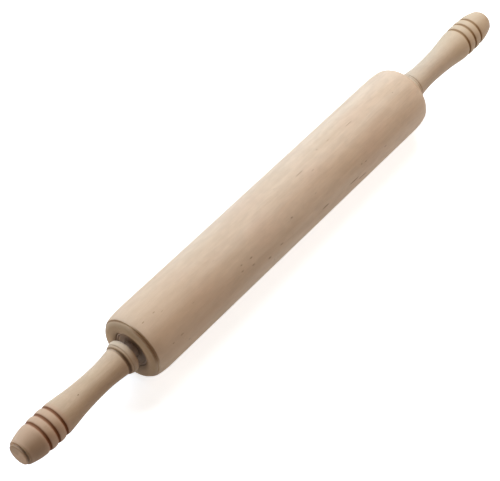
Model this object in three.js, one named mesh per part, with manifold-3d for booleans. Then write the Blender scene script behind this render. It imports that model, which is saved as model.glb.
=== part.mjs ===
// Rolling pin: a turned beech roller that runs on caged ball bearings round a steel rod,
// with two turned handles screwed to the rod's ends.
// Units are millimetres and +Z is up. The pin lies along X on one flat of its roller. The origin
// is on the resting plane under the middle of the roller. Left is the -X end, right the +X end.
import * as THREE from 'three';
import Module from 'manifold-3d';
import { mergeVertices } from 'three/addons/utils/BufferGeometryUtils.js';

// Clearances
const seatGap = 0.3;
const runningGap = 0.3;
const weldDistance = 0.0001;

// Roller
const rollerLength = 381;
const rollerRadius = 31.75;
const rollerSides = 32;
const rollerBoreRadius = 8;
const shoulderLength = 17;
const shoulderDrop = 2.55;
const capDepth = 3.4;
const capStep = 0.75;
const capThroatDepth = 2.9;
const capThroatWidth = 7;
const capThroatTopDegrees = 22;
const quirkWidth = 1.1;
const quirkDepth = 1.0;

// Balls and the row they run in, whose depth is measured from the cup's mouth
const ballRadius = 3.175;
const ballsPerBearing = 8;
const ballPitchRadius = 11.725;
const ballRowDepth = 6;

// Bearing cup, pressed into the end of the roller
const cupWall = 1.5;
const cupFloor = 1.2;
const cupFloorHoleRadius = 8.4;

// Bearing cone, clamped on the rod, with a long nose that reaches past the end of the roller
const coneLipRadius = 10;
const coneLipDepth = 1.5;
const coneHeelRadius = 7.6;
const coneHeelDepth = 2.9;
const coneRaceStartDegrees = 110;
const coneNoseRadius = 7.2;
const coneNoseProud = 1.85;

// Ball cage, dust shield and thrust washer
const cageThickness = 2.4;
const cageProngReach = 0.4;
const shieldThickness = 0.7;
const washerRadius = 10;
const washerThickness = 1.2;

// Steel rod and its retaining rings
const rodRadius = 4.75;
const rodReach = 58;
const rodChamfer = 0.8;
const ringThickness = 1.0;
const ringWidth = 3.0;
const ringBite = 0.55;
const ringLugRadius = 1.3;
const ringMouthDegrees = 64;

// Threaded insert in each handle
const insertRadius = 7.3;
const insertLength = 22;
const insertFlangeRadius = 9;
const insertFlangeThickness = 1.2;
const insertBarbHeight = 0.45;
const insertBarbs = 3;

// Handle, measured outward from the end of the roller
const handleReach = 130.4;
const beadRadius = 15.7;
const beadFaceRadius = 12.6;
const beadLength = 6.7;
const beadRingRadius = 14.9;
const beadRingLength = 2.4;
const beadScoreDepth = 0.3;
const collarGrooveRadius = 12.6;
const collarGrooveWidth = 1.4;
const neckRadius = 11.5;
const gripRadius = 15.65;
const tipRadius = 9.8;
const tipThickness = 1.7;
const tipRoundLength = 0.9;
const tipRoundWidth = 1.6;
const tipCoveWidth = 1.2;
const tipCoveDepth = 0.6;
const burnGrooveSpacing = 9.4;
const burnGrooveWidth = 1.9;
const burnGrooveDepth = 1.1;

// Counts of facets round each piece, and of steps along each curved part of an outline
const handleSides = 32;
const metalSides = 24;
const rodSides = 20;
const ballSides = 10;
const ballRings = 6;
const shoulderSteps = 4;
const capSteps = 3;
const raceSteps = 5;
const ringSteps = 8;
const beadSteps = 4;
const edgeSteps = 2;

// Shape of the grip between the collar groove and the tip: how far along each station lies, and
// how much of the way from the neck's radius to the grip's widest radius it stands.
const gripStationShare = [
  0, 0.086, 0.17, 0.27, 0.369, 0.467, 0.567, 0.652, 0.736, 0.822, 0.893, 0.949, 0.985, 1,
];
const gripSwellShare = [
  0.41, 0.137, 0, 0.024, 0.145, 0.361, 0.711, 0.94, 1, 0.94, 0.747, 0.434, 0.15, 0,
];
const burnGrooveMiddleShare = 0.747;

// Sizes that follow from those above. Inset is measured into the roller from its end face.
const axisHeight = rollerRadius * Math.cos(Math.PI / rollerSides);
const pocketRadius = ballRadius + runningGap;
const cupBoreRadius = ballPitchRadius + pocketRadius;
const cupRadius = cupBoreRadius + cupWall;
const cupMouthInset = capThroatDepth;
const ballRowInset = cupMouthInset + ballRowDepth;
const cupFloorInset = ballRowInset + pocketRadius;
const cupBackInset = cupFloorInset + cupFloor;
const recessRadius = cupRadius + seatGap;
const recessDepth = cupBackInset + seatGap;
const capCrestRadius = recessRadius + capThroatWidth;
const shoulderEndRadius = rollerRadius - shoulderDrop;
const boreOnRod = rodRadius + seatGap;
const coneLipInset = cupMouthInset + coneLipDepth;
const shieldInset = coneLipInset - seatGap;
const cageOuterFaceInset = shieldInset + runningGap;
const cageOuterRadius = ballPitchRadius + cageThickness / 2;
const cageInnerRadius = ballPitchRadius - cageThickness / 2;
const coneHeelInset = ballRowInset + coneHeelDepth;
const ringInset = coneHeelInset + seatGap;
const ringInnerRadius = rodRadius - ringBite;
const ringGrooveRadius = ringInnerRadius - seatGap;
const washerFace = coneNoseProud + seatGap;
const handleFace = washerFace + washerThickness + seatGap;
const collarGrooveStart = handleFace + beadLength + beadRingLength;
const gripStart = collarGrooveStart + collarGrooveWidth;
const gripEnd = handleReach - tipThickness - tipCoveWidth;

// Materials
const beech = new THREE.MeshStandardMaterial({ color: 0xd9bd9b, roughness: 0.62, metalness: 0 });
const pressedSteel = new THREE.MeshStandardMaterial({ color: 0x8f8d8a, roughness: 0.38, metalness: 0.9 });
const hardenedSteel = new THREE.MeshStandardMaterial({ color: 0xb9bbbd, roughness: 0.18, metalness: 1 });
const rodSteel = new THREE.MeshStandardMaterial({ color: 0xa9abae, roughness: 0.3, metalness: 1 });
const springSteel = new THREE.MeshStandardMaterial({ color: 0x55565a, roughness: 0.45, metalness: 0.8 });
const brass = new THREE.MeshStandardMaterial({ color: 0xb08d4a, roughness: 0.4, metalness: 0.9 });

const point = (along, radius) => new THREE.Vector2(radius, along);

// Points of an elliptical arc in the along-radius plane, from one angle in degrees to another.
function ellipse(centreAlong, centreRadius, halfAlong, halfRadius, fromDegrees, toDegrees, steps) {
  const points = [];
  for (let i = 0; i <= steps; i += 1) {
    const angle = THREE.MathUtils.degToRad(THREE.MathUtils.lerp(fromDegrees, toDegrees, i / steps));
    const along = centreAlong + halfAlong * Math.cos(angle);
    points.push(point(along, centreRadius + halfRadius * Math.sin(angle)));
  }
  return points;
}

// Revolves an outline about the X axis, with a flat of the facets facing straight down.
function turned(outline, sides) {
  const points = outline.slice();
  const closed = points[0].x > 0 || points[points.length - 1].x > 0;
  if (closed) points.push(points[0].clone());
  if (THREE.ShapeUtils.area(points) < 0) points.reverse();
  const geometry = new THREE.LatheGeometry(points, sides, Math.PI / sides, Math.PI * 2);
  return geometry.rotateZ(-Math.PI / 2);
}

const wasm = await Module();
wasm.setup();

function toSolid(geometry) {
  const bare = geometry.clone();
  bare.deleteAttribute('normal');
  bare.deleteAttribute('uv');
  const welded = mergeVertices(bare, weldDistance);
  return new wasm.Manifold(new wasm.Mesh({
    numProp: 3,
    vertProperties: welded.attributes.position.array,
    triVerts: Uint32Array.from(welded.index.array),
  }));
}

function toGeometry(solid) {
  const mesh = solid.getMesh();
  const geometry = new THREE.BufferGeometry();
  geometry.setAttribute('position', new THREE.BufferAttribute(mesh.vertProperties, mesh.numProp));
  geometry.setIndex(new THREE.BufferAttribute(mesh.triVerts, 1));
  const flat = geometry.toNonIndexed();
  flat.computeVertexNormals();
  return flat;
}

function piece(name, geometry, material) {
  const mesh = new THREE.Mesh(geometry, material);
  mesh.name = name;
  return mesh;
}

// One end of the roller's outline, from the barrel in to the bore: a soft shoulder, a quirk, a
// bead whose inner side rounds down into the recess, and the recess for the bearing. outward is 1
// for the right end and -1 for the left.
function rollerEndOutline(outward) {
  const face = outward * rollerLength / 2;
  const shoulderMiddle = face - outward * (capDepth + quirkWidth / 2 + shoulderLength);
  const capMiddle = face - outward * capDepth;
  return [
    ...ellipse(
      shoulderMiddle,
      shoulderEndRadius,
      outward * shoulderLength,
      shoulderDrop,
      90,
      0,
      shoulderSteps,
    ),
    point(capMiddle, shoulderEndRadius - capStep - quirkDepth),
    ...ellipse(
      capMiddle + outward * quirkWidth / 2,
      capCrestRadius,
      outward * (capDepth - quirkWidth / 2),
      shoulderEndRadius - capStep - capCrestRadius,
      90,
      0,
      capSteps,
    ),
    ...ellipse(
      face - outward * capThroatDepth,
      capCrestRadius,
      outward * capThroatDepth,
      capThroatWidth,
      -capThroatTopDegrees,
      -90,
      capSteps,
    ),
    point(face - outward * recessDepth, recessRadius),
    point(face - outward * recessDepth, rollerBoreRadius),
  ];
}

function roller() {
  const outline = [...rollerEndOutline(1), ...rollerEndOutline(-1).reverse()];
  return piece('roller', turned(outline, rollerSides), beech);
}

// The rod is plain apart from a groove for the retaining ring behind each cone.
function axleRod() {
  const end = rollerLength / 2 + rodReach;
  const grooveOuter = rollerLength / 2 - ringInset + seatGap;
  const grooveInner = rollerLength / 2 - ringInset - ringThickness - seatGap;
  const half = [
    point(end, 0),
    point(end, rodRadius - rodChamfer),
    point(end - rodChamfer, rodRadius),
    point(grooveOuter, rodRadius),
    point(grooveOuter, ringGrooveRadius),
    point(grooveInner, ringGrooveRadius),
    point(grooveInner, rodRadius),
  ];
  const otherHalf = half.map((p) => point(-p.y, p.x)).reverse();
  return piece('axle_rod', turned([...half, ...otherHalf], rodSides), rodSteel);
}

// The functions below make the pieces of one end. Along is measured outward from the end face of
// the roller, so whatever lies inside the roller has a negative place.
function bearingCup(side) {
  const outline = [
    point(-cupMouthInset, cupRadius),
    point(-cupBackInset, cupRadius),
    point(-cupBackInset, cupFloorHoleRadius),
    point(-cupFloorInset, cupFloorHoleRadius),
    ...ellipse(-ballRowInset, ballPitchRadius, pocketRadius, pocketRadius, 180, 90, raceSteps),
    point(-cupMouthInset, cupBoreRadius),
  ];
  return piece(`bearing_cup_${side}`, turned(outline, metalSides), pressedSteel);
}

function bearingCone(side) {
  const start = -coneRaceStartDegrees;
  const end = THREE.MathUtils.radToDeg(Math.asin((coneLipRadius - ballPitchRadius) / pocketRadius));
  const outline = [
    point(-coneHeelInset, boreOnRod),
    point(-coneHeelInset, coneHeelRadius),
    ...ellipse(-ballRowInset, ballPitchRadius, pocketRadius, pocketRadius, start, end, raceSteps),
    point(-coneLipInset, coneLipRadius),
    point(-coneLipInset, coneNoseRadius),
    point(coneNoseProud, coneNoseRadius),
    point(coneNoseProud, boreOnRod),
  ];
  return piece(`bearing_cone_${side}`, turned(outline, metalSides), hardenedSteel);
}

// Where the balls sit: evenly spaced round the rod, with one at the top.
function ballPlaces() {
  const places = [];
  for (let i = 0; i < ballsPerBearing; i += 1) {
    const angle = (i / ballsPerBearing) * Math.PI * 2;
    places.push(new THREE.Vector3(
      -ballRowInset,
      ballPitchRadius * Math.sin(angle),
      ballPitchRadius * Math.cos(angle),
    ));
  }
  return places;
}

function bearingBalls(side) {
  return ballPlaces().map((place, i) => {
    const geometry = new THREE.SphereGeometry(ballRadius, ballSides, ballRings);
    const ball = piece(`bearing_ball_${side}_${i + 1}`, geometry, hardenedSteel);
    ball.position.copy(place);
    return ball;
  });
}

// A crown cage: a ring outside the row of balls, with a prong between each pair of them.
function ballCage(side) {
  const prongTip = -ballRowInset - cageProngReach;
  const ring = turned([
    point(-cageOuterFaceInset, cageInnerRadius),
    point(-cageOuterFaceInset, cageOuterRadius),
    point(prongTip, cageOuterRadius),
    point(prongTip, cageInnerRadius),
  ], metalSides);
  let solid = toSolid(ring);
  for (const place of ballPlaces()) {
    const pocket = new THREE.SphereGeometry(pocketRadius, ballSides, ballRings);
    pocket.translate(place.x, place.y, place.z);
    solid = solid.subtract(toSolid(pocket));
  }
  return piece(`ball_cage_${side}`, toGeometry(solid), pressedSteel);
}

function flatRing(name, material, start, thickness, innerRadius, outerRadius) {
  const outline = [
    point(start, innerRadius),
    point(start, outerRadius),
    point(start + thickness, outerRadius),
    point(start + thickness, innerRadius),
  ];
  return piece(name, turned(outline, metalSides), material);
}

function dustShield(side) {
  const name = `dust_shield_${side}`;
  const innerRadius = coneNoseRadius + seatGap;
  const outerRadius = cupBoreRadius - runningGap;
  return flatRing(name, pressedSteel, -shieldInset, shieldThickness, innerRadius, outerRadius);
}

function thrustWasher(side) {
  const name = `thrust_washer_${side}`;
  return flatRing(name, hardenedSteel, washerFace, washerThickness, boreOnRod, washerRadius);
}

// An open spring ring in the rod's groove, with a round lug at each side of its mouth.
function retainingRing(side) {
  const outerRadius = ringInnerRadius + ringWidth;
  const lugPitchRadius = outerRadius - ringLugRadius;
  const halfMouth = THREE.MathUtils.degToRad(ringMouthDegrees / 2);
  const start = Math.PI / 2 + halfMouth;
  const end = Math.PI / 2 - halfMouth + Math.PI * 2;
  const shape = new THREE.Shape();
  shape.absarc(0, 0, outerRadius, start, end, false);
  shape.absarc(
    lugPitchRadius * Math.cos(end),
    lugPitchRadius * Math.sin(end),
    ringLugRadius,
    end,
    end + Math.PI,
    false,
  );
  shape.absarc(0, 0, ringInnerRadius, end, start, true);
  shape.absarc(
    lugPitchRadius * Math.cos(start),
    lugPitchRadius * Math.sin(start),
    ringLugRadius,
    start - Math.PI,
    start,
    false,
  );
  const geometry = new THREE.ExtrudeGeometry(shape, {
    depth: ringThickness,
    bevelEnabled: false,
    curveSegments: ringSteps,
  });
  geometry.rotateX(Math.PI / 2);
  geometry.rotateZ(Math.PI / 2);
  geometry.translate(-ringInset - ringThickness, 0, 0);
  return piece(`retaining_ring_${side}`, geometry, springSteel);
}

// A brass sleeve with a flange at the handle's face and barbs that grip the wood.
function handleInsert(side) {
  const flangeEnd = handleFace + insertFlangeThickness;
  const end = handleFace + insertLength;
  const barbPitch = (end - flangeEnd) / insertBarbs;
  const barbs = [];
  for (let i = 0; i < insertBarbs; i += 1) {
    barbs.push(point(flangeEnd + barbPitch * i, insertRadius - insertBarbHeight));
    barbs.push(point(flangeEnd + barbPitch * (i + 1), insertRadius));
  }
  const outline = [
    point(handleFace, boreOnRod),
    point(handleFace, insertFlangeRadius),
    point(flangeEnd, insertFlangeRadius),
    ...barbs,
    point(end, boreOnRod),
  ];
  return piece(`handle_insert_${side}`, turned(outline, rodSides), brass);
}

// The grip's radius at a place along it, before the burned grooves are turned in.
const gripRadiusCurve = new THREE.CubicInterpolant(
  gripStationShare.map((share) => THREE.MathUtils.lerp(gripStart, gripEnd, share)),
  gripSwellShare.map((share) => THREE.MathUtils.lerp(neckRadius, gripRadius, share)),
  1,
);

function gripPoint(along) {
  return point(along, gripRadiusCurve.evaluate(along)[0]);
}

function burnGroove(middle) {
  const edge = burnGrooveWidth / 2;
  const bottom = gripPoint(middle);
  bottom.x -= burnGrooveDepth;
  return [gripPoint(middle - edge), bottom, gripPoint(middle + edge)];
}

function gripOutline() {
  const middle = THREE.MathUtils.lerp(gripStart, gripEnd, burnGrooveMiddleShare);
  const grooves = [-1, 0, 1].map((i) => middle + i * burnGrooveSpacing);
  const isClear = (along) => grooves.every((groove) => Math.abs(along - groove) > burnGrooveWidth);
  const plain = gripRadiusCurve.parameterPositions.filter(isClear).map(gripPoint);
  return [...plain, ...grooves.flatMap(burnGroove)].sort((a, b) => a.y - b.y);
}

function handle(side) {
  const beadMiddle = handleFace + beadLength / 2;
  const score = handleFace + beadLength;
  const rodBoreEnd = rodReach + seatGap;
  const insertBoreEnd = handleFace + insertLength + seatGap;
  const flangeBoreEnd = handleFace + insertFlangeThickness + seatGap;
  const outline = [
    point(handleFace, insertFlangeRadius + seatGap),
    ...ellipse(
      beadMiddle,
      beadFaceRadius,
      beadLength / 2,
      beadRadius - beadFaceRadius,
      180,
      90,
      beadSteps,
    ),
    point(score - beadScoreDepth, beadRingRadius),
    point(score, beadRingRadius - beadScoreDepth),
    ...ellipse(
      score,
      collarGrooveRadius,
      beadRingLength,
      beadRingRadius - collarGrooveRadius,
      75,
      15,
      edgeSteps,
    ),
    point(collarGrooveStart + collarGrooveWidth / 2, collarGrooveRadius),
    ...gripOutline(),
    point(gripEnd + tipCoveWidth / 2, tipRadius - tipCoveDepth),
    point(gripEnd + tipCoveWidth, tipRadius),
    ...ellipse(
      handleReach - tipRoundLength,
      tipRadius - tipRoundWidth,
      tipRoundLength,
      tipRoundWidth,
      90,
      0,
      edgeSteps,
    ),
    point(handleReach, 0),
    point(rodBoreEnd, 0),
    point(rodBoreEnd, boreOnRod),
    point(insertBoreEnd, boreOnRod),
    point(insertBoreEnd, insertRadius + seatGap),
    point(flangeBoreEnd, insertRadius + seatGap),
    point(flangeBoreEnd, insertFlangeRadius + seatGap),
  ];
  return piece(`handle_${side}`, turned(outline, handleSides), beech);
}

function pinEnd(side) {
  const end = new THREE.Group();
  end.add(
    bearingCup(side),
    bearingCone(side),
    ballCage(side),
    ...bearingBalls(side),
    dustShield(side),
    thrustWasher(side),
    retainingRing(side),
    handleInsert(side),
    handle(side),
  );
  const outward = side === 'left' ? -1 : 1;
  end.position.x = outward * rollerLength / 2;
  end.rotation.z = side === 'left' ? Math.PI : 0;
  return end;
}

const group = new THREE.Group();
group.add(roller(), axleRod(), pinEnd('left'), pinEnd('right'));
group.position.z = axisHeight;
group.updateMatrixWorld(true);

export default group;
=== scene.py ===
"""Finish of the rolling pin: sanded turned beech with burned rings, and bearings of greased steel.

Units are metres. Each turned piece is made about its own X axis. A piece of one end is measured
outward from the end face of the roller and set at that face, so both ends share one outline.
"""
import math
from typing import NamedTuple

import bmesh
import bpy
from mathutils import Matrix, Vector


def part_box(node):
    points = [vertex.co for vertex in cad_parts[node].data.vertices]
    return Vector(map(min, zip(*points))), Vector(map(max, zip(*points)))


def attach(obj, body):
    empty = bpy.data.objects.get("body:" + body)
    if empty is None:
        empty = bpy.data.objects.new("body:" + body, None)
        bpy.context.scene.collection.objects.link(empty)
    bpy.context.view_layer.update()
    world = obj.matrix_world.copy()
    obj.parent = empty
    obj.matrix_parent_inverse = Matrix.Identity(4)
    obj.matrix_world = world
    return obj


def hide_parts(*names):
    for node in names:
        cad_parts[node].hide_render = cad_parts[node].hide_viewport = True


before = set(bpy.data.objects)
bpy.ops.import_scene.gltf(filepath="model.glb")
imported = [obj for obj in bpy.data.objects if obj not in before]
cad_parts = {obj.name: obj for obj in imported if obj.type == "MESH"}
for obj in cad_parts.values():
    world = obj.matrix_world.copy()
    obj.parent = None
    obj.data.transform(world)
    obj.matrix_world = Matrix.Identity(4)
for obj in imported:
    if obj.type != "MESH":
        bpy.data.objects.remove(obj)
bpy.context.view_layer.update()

# Places taken from the frame
roller_low, roller_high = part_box("roller")
AXIS_HEIGHT = (roller_low.z + roller_high.z) / 2
ROLLER_HALF = roller_high.x
ROD_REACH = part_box("axle_rod")[1].x - ROLLER_HALF
HANDLE_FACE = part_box("handle_right")[0].x - ROLLER_HALF
HANDLE_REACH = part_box("handle_right")[1].x - ROLLER_HALF
CUP_BACK_INSET = ROLLER_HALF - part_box("bearing_cup_right")[0].x
CUP_MOUTH_INSET = ROLLER_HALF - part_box("bearing_cup_right")[1].x
SHIELD_INSET = ROLLER_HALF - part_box("dust_shield_right")[0].x
BALL_ROW_INSET = ROLLER_HALF - sum(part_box("bearing_ball_right_1"), Vector()).x / 2
WASHER_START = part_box("thrust_washer_right")[0].x - ROLLER_HALF
WASHER_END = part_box("thrust_washer_right")[1].x - ROLLER_HALF
INSERT_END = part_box("handle_insert_right")[1].x - ROLLER_HALF
RING_INSET = ROLLER_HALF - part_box("retaining_ring_right")[1].x
CONE_HEEL_INSET = ROLLER_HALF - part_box("bearing_cone_right")[0].x
CONE_NOSE_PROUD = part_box("bearing_cone_right")[1].x - ROLLER_HALF

# Clearances
SEAT_GAP = 0.0003
RUNNING_GAP = 0.0003

# Roller. An arc's sweep is where it starts and ends, in degrees.
ROLLER_RADIUS = 0.03175
ROLLER_BORE = 0.008
SHOULDER_LENGTH = 0.017
SHOULDER_DROP = 0.00255
SHOULDER_LIP = 0.0003
SHOULDER_SWEEP = (90, 2)
CAP_DEPTH = 0.0034
CAP_STEP = 0.0005
CAP_CREST_RADIUS = 0.024
CAP_SWEEP = (62, 2)
CAP_THROAT_WIDTH = 0.007
QUIRK_WIDTH = 0.0009
QUIRK_DEPTH = 0.0003
QUIRK_SWEEP = (200, 340)
RECESS_RADIUS = 0.017
METAL_EDGE = 0.0004

# Bearing
BALL_RADIUS = 0.003175
BALLS = 8
BALL_PITCH_RADIUS = 0.011725
POCKET_RADIUS = BALL_RADIUS + RUNNING_GAP
CUP_BORE = BALL_PITCH_RADIUS + POCKET_RADIUS
CUP_RADIUS = 0.0167
CUP_FLOOR = 0.0012
CUP_FLOOR_HOLE = 0.0084
CUP_RIM_ROUNDING = 0.0006
CONE_LIP_RADIUS = 0.010
CONE_LIP_INSET = CUP_MOUTH_INSET + 0.0015
CONE_HEEL_RADIUS = 0.0076
CONE_NOSE_RADIUS = 0.0072
CONE_RACE_START = -110
CAGE_HALF_THICKNESS = 0.0012
CAGE_FACE_INSET = SHIELD_INSET + RUNNING_GAP
CAGE_PRONG_REACH = 0.0004
SHIELD_THICKNESS = 0.0007
SHIELD_GROOVE_DEPTH = 0.00025
WASHER_RADIUS = 0.010

# Rod, retaining ring and insert
ROD_RADIUS = 0.00475
BORE_ON_ROD = ROD_RADIUS + SEAT_GAP
ROD_CHAMFER = 0.0008
RING_THICKNESS = 0.001
RING_INNER_RADIUS = 0.0042
RING_WIDTH = 0.003
RING_LUG_RADIUS = 0.0013
RING_MOUTH_DEGREES = 64
INSERT_RADIUS = 0.0073
INSERT_FLANGE_RADIUS = 0.009
INSERT_FLANGE = 0.0012
INSERT_BARB = 0.00045
INSERT_BARBS = 12

# Handle
BEAD_RADIUS = 0.0157
BEAD_FACE_RADIUS = 0.0126
BEAD_LENGTH = 0.0067
BEAD_BACK_CENTRE_RADIUS = 0.0143
BEAD_BACK_HALF = 0.0035
BEAD_BACK_SWEEP = (85, 30)
BEAD_RING_RADIUS = 0.0149
BEAD_RING_LENGTH = 0.0024
BEAD_RING_SWEEP = (82, 5)
BEAD_SCORE = 0.0003
COLLAR_GROOVE_RADIUS = 0.0126
COLLAR_GROOVE_WIDTH = 0.0014
NECK_RADIUS = 0.0115
GRIP_RADIUS = 0.01565
TIP_RADIUS = 0.0098
TIP_THICKNESS = 0.0017
TIP_ROUND_LENGTH = 0.0009
TIP_ROUND_WIDTH = 0.0016
TIP_COVE_WIDTH = 0.0012
TIP_COVE_DEPTH = 0.00045
TIP_COVE_SWEEP = (205, 335)
BURN_SPACING = 0.0094
BURN_WIDTH = 0.0024
BURN_DEPTH = 0.0014
LAND_ROUNDING = 0.0006
LAND_FADE = 0.0013
COLLAR_GROOVE_START = HANDLE_FACE + BEAD_LENGTH + BEAD_RING_LENGTH
GRIP_START = COLLAR_GROOVE_START + COLLAR_GROOVE_WIDTH
GRIP_END = HANDLE_REACH - TIP_THICKNESS - TIP_COVE_WIDTH
GRIP_STATION_SHARE = [
    0, 0.086, 0.17, 0.27, 0.369, 0.467, 0.567, 0.652, 0.736, 0.822, 0.893, 0.949, 0.985, 1,
]
GRIP_SWELL_SHARE = [
    0.41, 0.137, 0, 0.024, 0.145, 0.361, 0.711, 0.94, 1, 0.94, 0.747, 0.434, 0.15, 0,
]
BURN_MIDDLE_SHARE = 0.747
BURN_MIDDLE = GRIP_START + (GRIP_END - GRIP_START) * BURN_MIDDLE_SHARE
BURN_PLACES = [BURN_MIDDLE + step * BURN_SPACING for step in (-1, 0, 1)]

# Fineness of the meshes
ROLLER_SIDES = 192
HANDLE_SIDES = 144
METAL_SIDES = 96
LONG_STEP = 0.006
GRIP_STEP = 0.001
GROOVE_STEP = 0.00014
SHIELD_GROOVE_STEPS = 16
BALL_CUTS = 11
POCKET_FINENESS = 4
RING_STEPS = 64
LUG_STEPS = 14
SHARP_ANGLE = math.radians(34)
SAME_POINT = SEAT_GAP / 10
WELD_DISTANCE = 0.000002

# Colours of the wood, linear
PALE_BEECH = (0.68, 0.56, 0.435, 1)
DEEP_BEECH = (0.605, 0.47, 0.34, 1)
BLUSH_BEECH = (0.655, 0.505, 0.385, 1)
WARM_BEECH = (0.63, 0.45, 0.30, 1)
GOLDEN_BEECH = (0.61, 0.47, 0.31, 1)
ROSE_BEECH = (0.57, 0.375, 0.26, 1)
# The bead's paler wood, which also carries a painted highlight on its upper back side
BEAD_PALE_AND_HIGHLIGHT = (0.72, 0.60, 0.46, 1)
PORE_BROWN = (0.34, 0.20, 0.11, 1)
FLECK_BROWN = (0.20, 0.105, 0.055, 1)
# Painted shade in the roller's crease, round its recess and under its cap
CREASE_SHADE_BROWN = (0.27, 0.155, 0.08, 1)
# Painted shade over the roller's cap face, heaviest at its top
CAP_SHADE_TAN = (0.38, 0.27, 0.17, 1)
# Painted shade in the handles' coves and on the fronts of their ends, and the dark tip rim and score
# line
SHADE_AND_LINE_BROWN = (0.24, 0.15, 0.085, 1)
# Painted shade in the handles' collar grooves
GROOVE_SHADE_BROWN = (0.16, 0.09, 0.045, 1)
# Painted shade on the handles' front lower sides
HANDLE_SHADE_BROWN = (0.35, 0.19, 0.095, 1)
NEAR_SCORCH = (0.30, 0.135, 0.075, 1)
NEAR_BURN = (0.155, 0.045, 0.006, 1)
FAR_SCORCH = (0.42, 0.26, 0.13, 1)
FAR_BURN = (0.20, 0.11, 0.048, 1)
ROLLER_TINT = (1.0, 1.0, 1.0)
ROLLER_END_TINT = (1.0, 0.88, 0.74, 1)
HANDLE_END_TINT = (0.80, 0.72, 0.63, 1)

# Colours of the metal, linear
STEEL_GREY = (0.42, 0.40, 0.38, 1)
CUP_GREY = (0.60, 0.56, 0.50, 1)
GROUND_STEEL = (0.55, 0.56, 0.57, 1)
BALL_STEEL = (0.60, 0.60, 0.60, 1)
DRAWN_STEEL = (0.50, 0.50, 0.52, 1)
BLACKENED_STEEL = (0.12, 0.12, 0.13, 1)
BRASS_YELLOW = (0.62, 0.44, 0.16, 1)
OLD_GREASE = (0.29, 0.18, 0.105, 1)
CUP_GREASE = (0.35, 0.215, 0.13, 1)
WORN_GREASE = (0.54, 0.38, 0.26, 1)
ROD_TARNISH = (0.34, 0.30, 0.27, 1)
SPRING_TARNISH = (0.16, 0.10, 0.07, 1)
BRASS_TARNISH = (0.34, 0.22, 0.09, 1)

# Figure of the beech. A noise has how often it repeats in a metre along and across the grain,
# its detail and its roughness. A ramp has the range it takes and the range it gives, if not 0 to 1.
BAND_NOISE = ((7, 62, 62), 3, 0.6)
STREAK_NOISE = ((16, 420, 420), 3, 0.6)
FIBRE_NOISE = ((60, 2100, 2100), 2, 0.6)
PATCH_NOISE = ((17, 42, 42), 2, 0.5)
MOTTLE_NOISE = ((80, 150, 150), 2, 0.6)
DEEP_RAMP = (0.36, 0.66, 0.0, 0.75)
STREAK_RAMP = (0.35, 0.7, -0.04, 0.09)
FIBRE_RAMP = (0.3, 0.75, 1.03, 0.94)
BLUSH_RAMP = (0.42, 0.68, 0.0, 0.55)
MOTTLE_RAMP = (0.35, 0.65, 1.025, 0.965)
PORE_RAMP = (0.48, 0.66, 0.0, 0.22)
END_GRAIN_RAMP = (0.45, 0.95)

# Dashes and marks in the wood
DASH_SCALE = (75, 400, 400)
DASH_SIZE = 0.17
DASH_SIZE_RAMP = (0, 1, 0.6, 1.2)
DASH_EDGE_RAMP = (0.55, 1.0, 1.0, 0.0)
DASH_STRENGTH_RAMP = (0, 1, 0.45, 1.0)
MARK_EDGE_RAMP = (0.6, 1.15, 1.0, 0.0)
MARK_TAPER_POWER = 4.0
MARK_STRENGTH = 0.85

# Rings of stain, painted shade and painted highlight
FULL_SIDE = 0.95
BAND_WAVER = 0.4
WAVER_NOISE = ((300, 300, 300), 2, 0.5)
WITHIN_RAMP = (0.8, 1.0, 1.0, 0.0)
WARM_END_HALF = 0.03
WARM_END_FADE = 0.11
# Fade of the painted shade on the handles' fronts
HANDLE_SHADE_FADE = 0.01
# Painted shade on the front of each handle's end
SHADED_END_INSET = 0.012
SHADED_END_HALF = 0.004
SHADED_END_FADE = 0.008
BEAD_FADE = 0.0004
SCORE_HALF = 0.0003
SCORE_FADE = 0.0005

# Surface of the wood
BEECH_LINES = 1500.0
FIBRE_RELIEF = 0.7
LINE_RELIEF = 0.3
MARK_RELIEF = 0.5
BEECH_BUMP = 0.22
BEECH_BUMP_HEIGHT = 0.0002
BEECH_ROUGHNESS_RAMP = (0.3, 0.7, 0.50, 0.60)
CHAR_ROUGHNESS = 0.2
SPECULAR = 0.15
LINE_SCALE_ROUND = 24.0
LINE_DETAIL = 3
LINE_NOISE_ROUGHNESS = 0.6

# Surface of the metal
SMEAR_NOISE = ((260, 260, 260), 4, 0.6)
SMEAR_RAMP = (0.35, 0.7)
SPOT_NOISE = ((1400, 1400, 1400), 3, 0.6)
SPOT_RAMP = (0.5, 0.75)
METAL_BUMP = 0.12
METAL_BUMP_HEIGHT = 0.00005
TARNISHED_METALLIC = 0.3
GREASED_METALLIC = 0.1
GREASED_SPECULAR = 0.04

# Metals: colour, tarnish, least tarnish, smooth and rough, lines in a metre, and whether greased
METALS = {
    "pressed_steel": (STEEL_GREY, OLD_GREASE, 0.9, 0.4, 0.6, 3000.0, True),
    "cup_steel": (CUP_GREY, CUP_GREASE, 0.84, 0.3, 0.45, 3000.0, True),
    "bearing_steel": (GROUND_STEEL, WORN_GREASE, 0.8, 0.3, 0.45, 5000.0, False),
    "ball_steel": (BALL_STEEL, WORN_GREASE, 0.05, 0.12, 0.25, 5000.0, False),
    "rod_steel": (DRAWN_STEEL, ROD_TARNISH, 0.1, 0.2, 0.36, 2500.0, False),
    "spring_steel": (BLACKENED_STEEL, SPRING_TARNISH, 0.0, 0.35, 0.5, 2500.0, False),
    "brass": (BRASS_YELLOW, BRASS_TARNISH, 0.0, 0.25, 0.42, 2500.0, False),
}

# Where the roller lies in the board, and the share of places in the wood that have a dash
ROLLER_BOARD = (0.0, 0.013, 0.021)
ROLLER_DASH_SHARE = 0.085
HANDLE_DASH_SHARE = 0.035

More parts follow.
